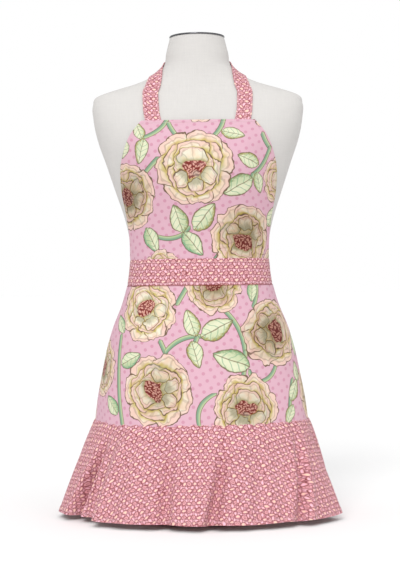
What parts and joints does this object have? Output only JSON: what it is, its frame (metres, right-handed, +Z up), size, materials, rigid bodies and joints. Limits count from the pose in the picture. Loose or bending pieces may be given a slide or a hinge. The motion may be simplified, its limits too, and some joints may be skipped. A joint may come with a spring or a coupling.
{
  "type": "bib apron on a dress form",
  "caption": "Bib apron with a gathered ruffle hem, worn by a headless linen dress form that turns and rises on a counter-top stand.",
  "frame": {"origin": "middle of the foot pad's underside, on the surface that the stand rests on", "axes": "+Z up along the pole, -Y out of the apron's front, +X to the viewer's right when facing the front"},
  "size_m": [0.4995, 0.3638, 0.8642],
  "materials": {
    "base_steel": "satin",
    "bright_steel": "polished",
    "foot_rubber": "matte",
    "clamp_plastic": "matte",
    "torso_pulp": "matte",
    "board_wood": "matte",
    "form_linen": "matte",
    "rose_print": "matte",
    "small_print": "matte"
  },
  "bodies": {
    "stand": {"foot_pad": "foot_rubber", "base_plate": "base_steel", "base_bolt": "bright_steel", "pole": "bright_steel"},
    "collar": {"clamp_collar": "clamp_plastic"},
    "knob": {"clamp_knob": "clamp_plastic", "clamp_screw": "bright_steel"},
    "form": {"pole_bush": "base_steel", "bush_screw_1": "bright_steel", "bush_screw_2": "bright_steel", "bush_screw_3": "bright_steel", "bush_screw_4": "bright_steel", "base_board": "board_wood", "torso_shell": "torso_pulp", "cover_front": "form_linen", "cover_back": "form_linen", "neck_block": "board_wood", "neck_cap": "bright_steel", "neck_screw": "bright_steel", "bib": "rose_print", "bib_facing": "rose_print", "waistband": "small_print", "waistband_facing": "small_print", "skirt": "rose_print", "ruffle": "small_print", "neck_strap": "small_print", "tie_left": "small_print", "tie_right": "small_print", "bow_knot": "small_print", "bow_loop_left": "small_print", "bow_loop_right": "small_print", "bow_tail_left": "small_print", "bow_tail_right": "small_print"}
  },
  "joints": [
    {"name": "height_slide", "type": "slide", "parent": "stand", "child": "collar", "axis": [0, 0, 1], "range_m": [0, 0.15]},
    {"name": "knob_turn", "type": "hinge", "parent": "collar", "child": "knob", "pos_m": [0, 0.024, 0.134], "axis": [0, 1, 0], "range_deg": [0, 360]},
    {"name": "form_swivel", "type": "hinge", "parent": "collar", "child": "form", "pos_m": [0, 0, 0.15], "axis": [0, 0, 1], "continuous": true}
  ]
}
